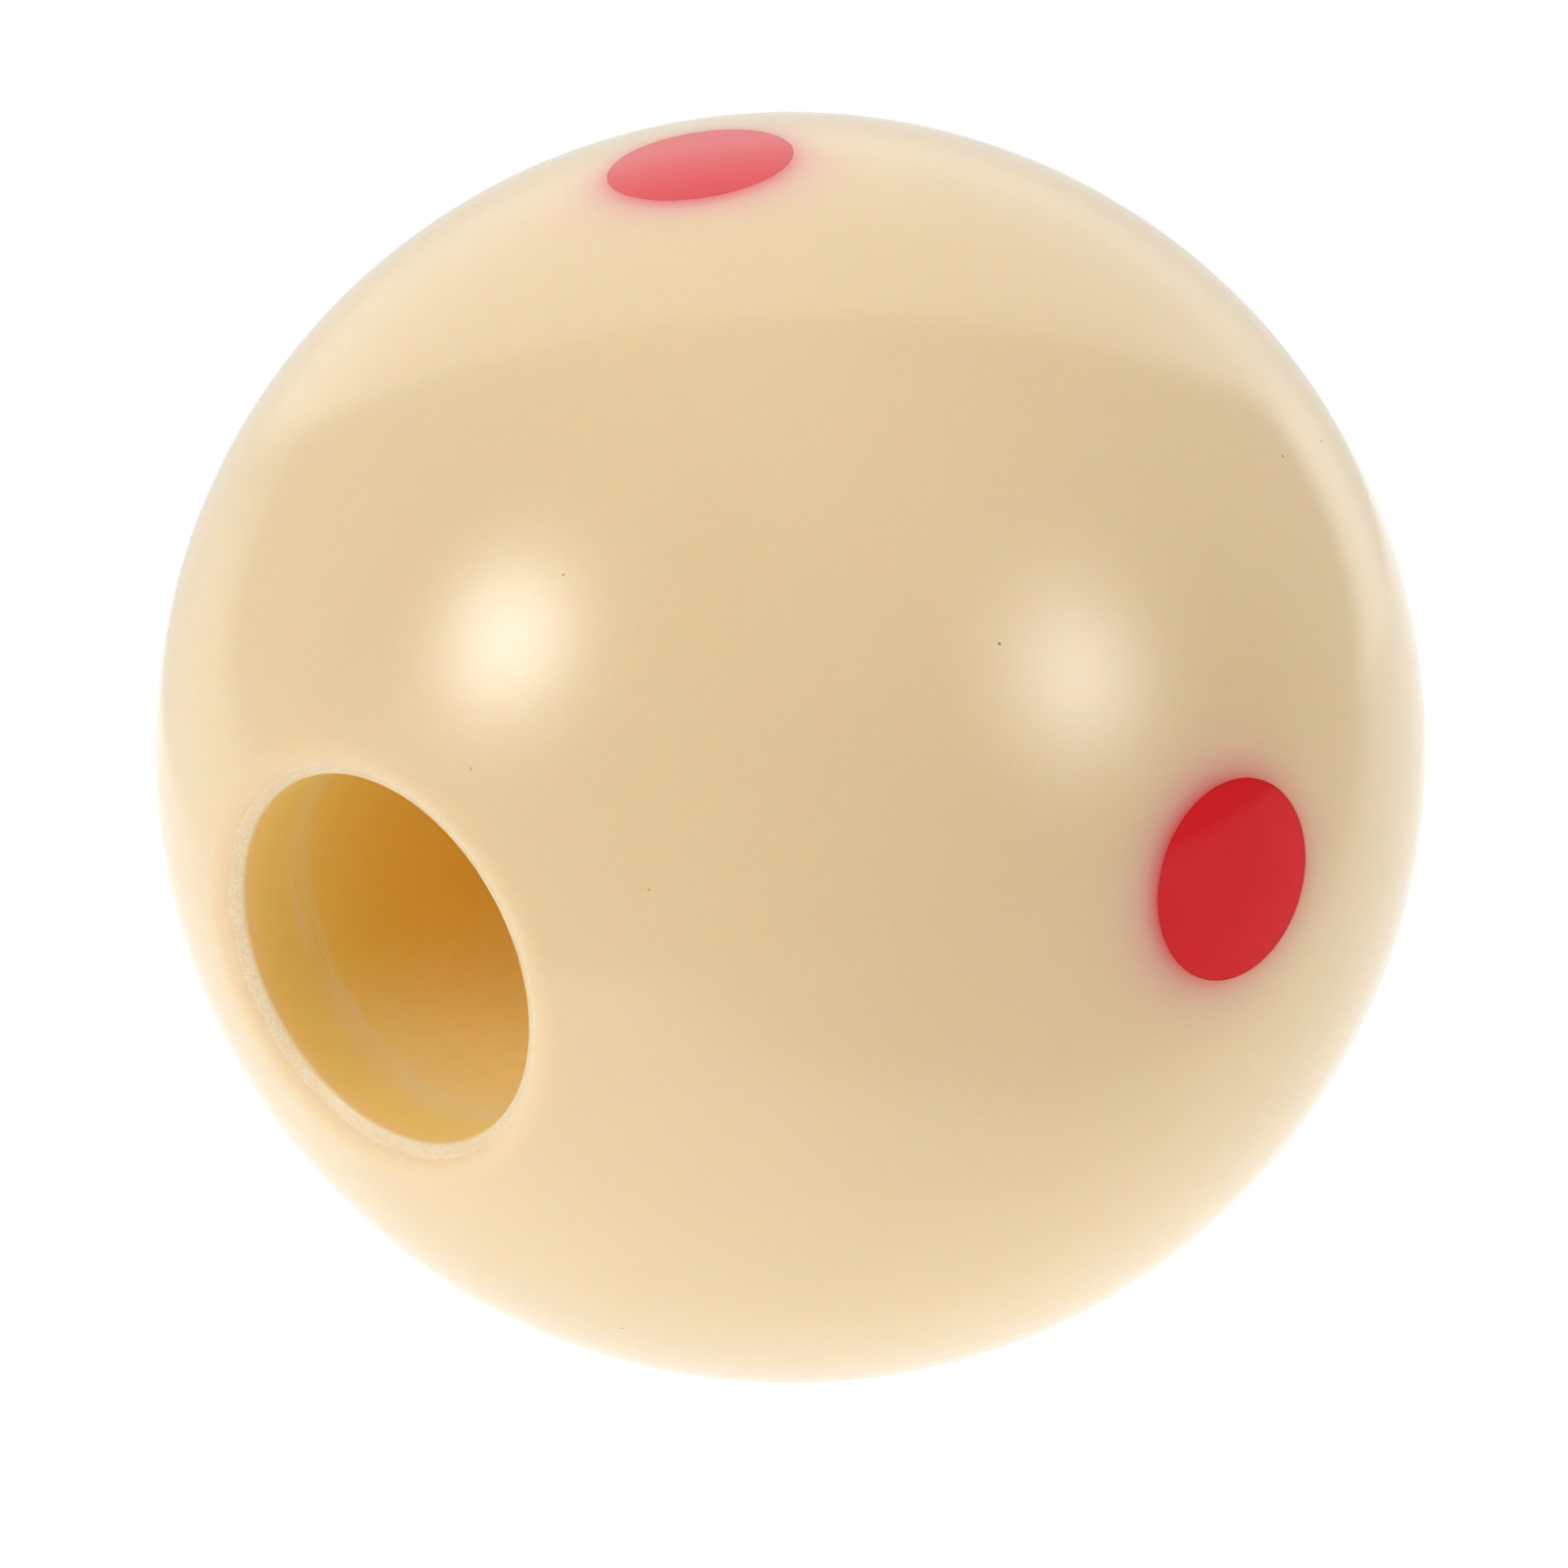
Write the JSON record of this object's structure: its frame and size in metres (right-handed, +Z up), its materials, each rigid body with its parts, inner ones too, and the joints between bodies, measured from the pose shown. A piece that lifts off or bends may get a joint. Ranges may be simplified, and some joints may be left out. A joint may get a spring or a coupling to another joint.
{
  "type": "cue ball",
  "caption": "Ivory resin pool cue ball with red spots and a countersunk bore right through it, which a cue's tip passes along for stroke training.",
  "frame": {"origin": "centre of the ball, halfway along its bore", "axes": "+Z up through the top spot, the bore along Y with its front mouth at -Y, the right spot towards +X"},
  "size_m": [0.0572, 0.0536, 0.0572],
  "materials": {
    "ivory_resin": "polished cast resin, slightly translucent",
    "red_resin": "polished cast resin"
  },
  "bodies": {
    "root": {"ball_body": "ivory_resin", "spot_top": "red_resin", "spot_bottom": "red_resin", "spot_left": "red_resin", "spot_right": "red_resin"}
  },
  "joints": []
}
